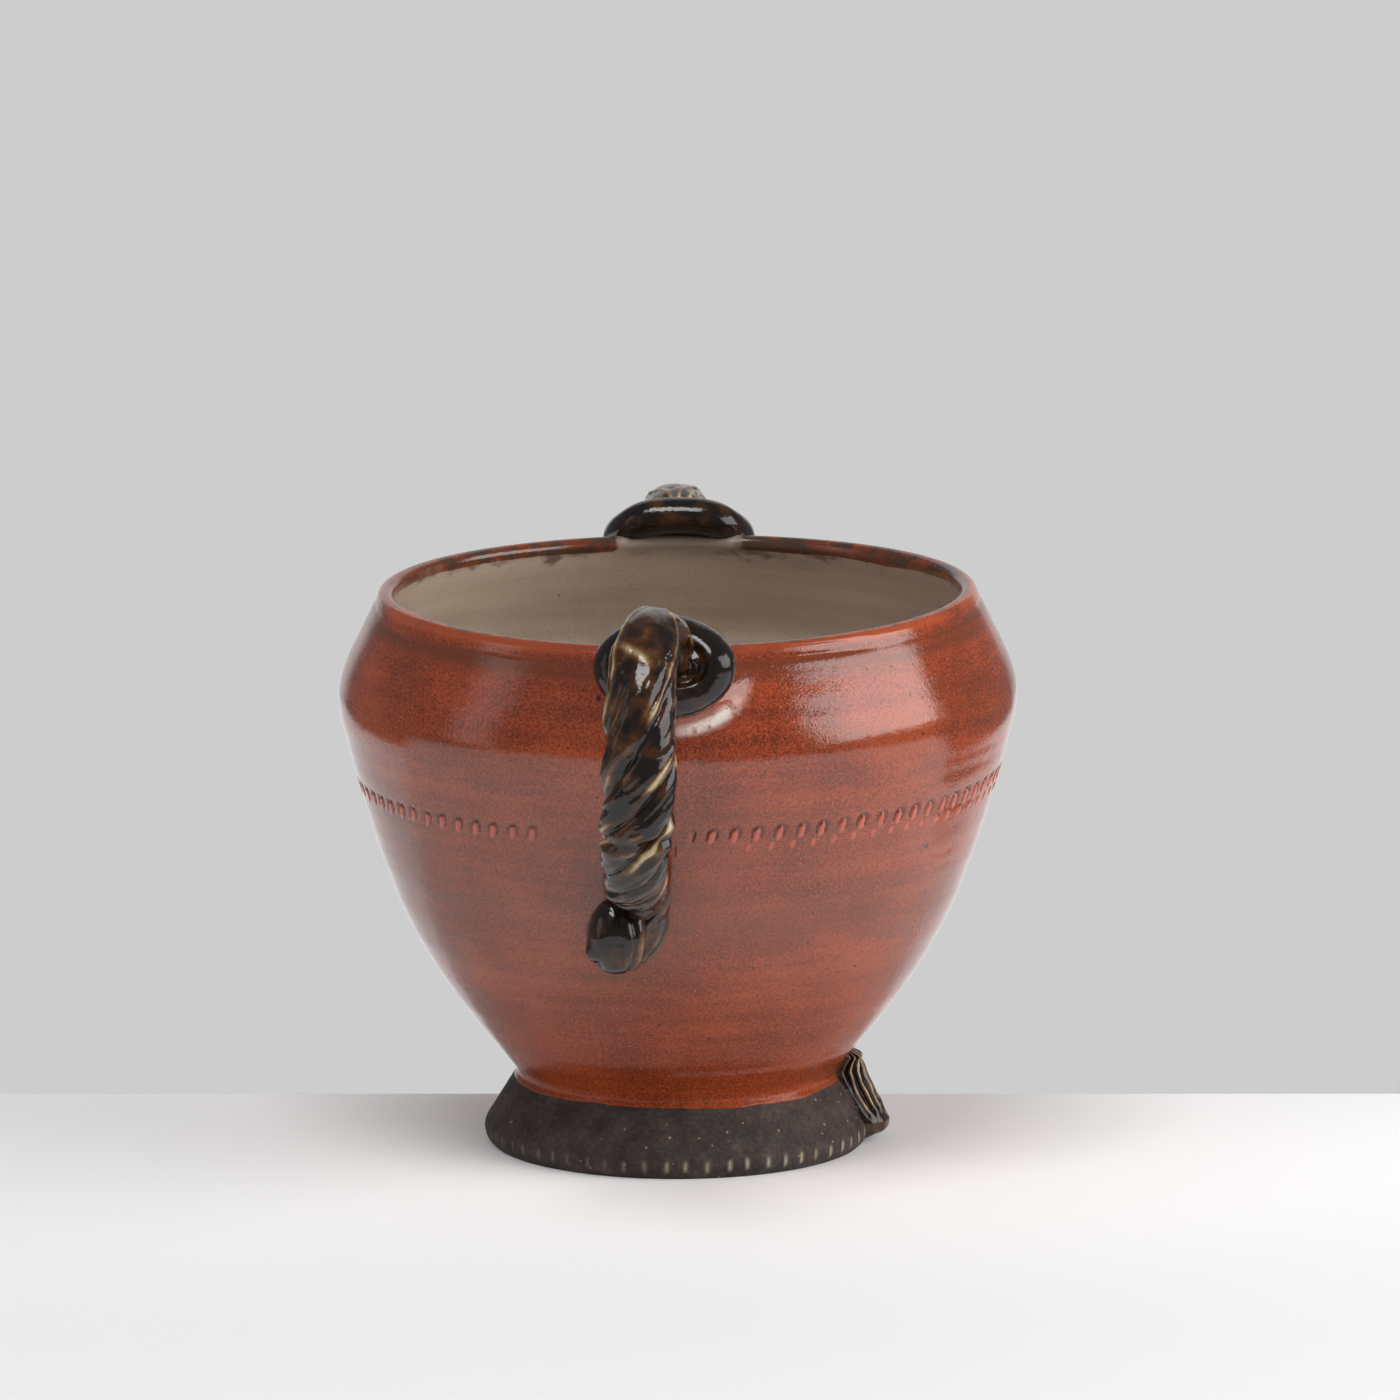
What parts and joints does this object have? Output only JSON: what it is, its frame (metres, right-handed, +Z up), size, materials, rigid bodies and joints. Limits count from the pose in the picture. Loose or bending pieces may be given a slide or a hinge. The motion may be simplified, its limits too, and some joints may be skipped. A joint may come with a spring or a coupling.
{
  "type": "two-handled sipping bowl",
  "caption": "Glazed ceramic sipping bowl with a round shoulder, flared foot ring, stamped band and twisted strap handles front and back.",
  "frame": {"origin": "on the table plane, at the middle of the foot ring's base", "axes": "+Z up out of the bowl's mouth; the two handles lie along -Y (front) and +Y (back); the ribbed strap on the foot faces +X"},
  "size_m": [0.1148, 0.1687, 0.1034],
  "materials": {
    "red_glaze": "gloss",
    "bare_clay": "matte",
    "brown_glaze": "gloss"
  },
  "bodies": {
    "root": {"bowl": "red_glaze", "foot_ring": "bare_clay", "foot_strap": "brown_glaze", "front_handle_collar": "brown_glaze", "front_handle_rope": "brown_glaze", "front_handle_knob": "brown_glaze", "back_handle_collar": "brown_glaze", "back_handle_rope": "brown_glaze", "back_handle_knob": "brown_glaze"}
  },
  "joints": []
}
